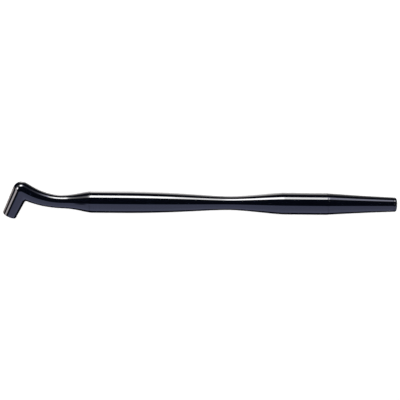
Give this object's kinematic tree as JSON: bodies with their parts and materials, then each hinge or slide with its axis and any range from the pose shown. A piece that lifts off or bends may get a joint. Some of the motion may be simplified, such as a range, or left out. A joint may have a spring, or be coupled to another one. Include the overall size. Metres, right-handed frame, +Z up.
{
  "type": "lug wrench",
  "caption": "Long two-handed wheel nut wrench: a hexagon socket on a short leg, a swan neck, a waisted handle and a tapered tail.",
  "frame": {"origin": "on the surface the tool lies on, under the middle of its box", "axes": "+X along the handle from the socket to the tail, +Y to the elbow's side, +Z up; the mouth of the socket faces -Y and -X"},
  "size_m": [0.7004, 0.067, 0.0384],
  "materials": {
    "enamel": "gloss black enamel on forged steel",
    "gloss_grip": "hard gloss black moulding",
    "bare_steel": "oiled bare steel",
    "zinc_plate": "bright zinc plate",
    "nylon": "natural nylon"
  },
  "bodies": {
    "root": {"socket_barrel": "enamel", "gooseneck": "enamel", "handle_sleeve": "gloss_grip", "tail_cone": "enamel", "end_cap": "gloss_grip", "tie_rod": "bare_steel", "front_bush": "nylon", "rear_bush": "nylon", "front_key": "bare_steel", "rear_key": "bare_steel", "tail_washer": "zinc_plate", "lock_washer": "zinc_plate", "tail_nut": "zinc_plate"}
  },
  "joints": []
}
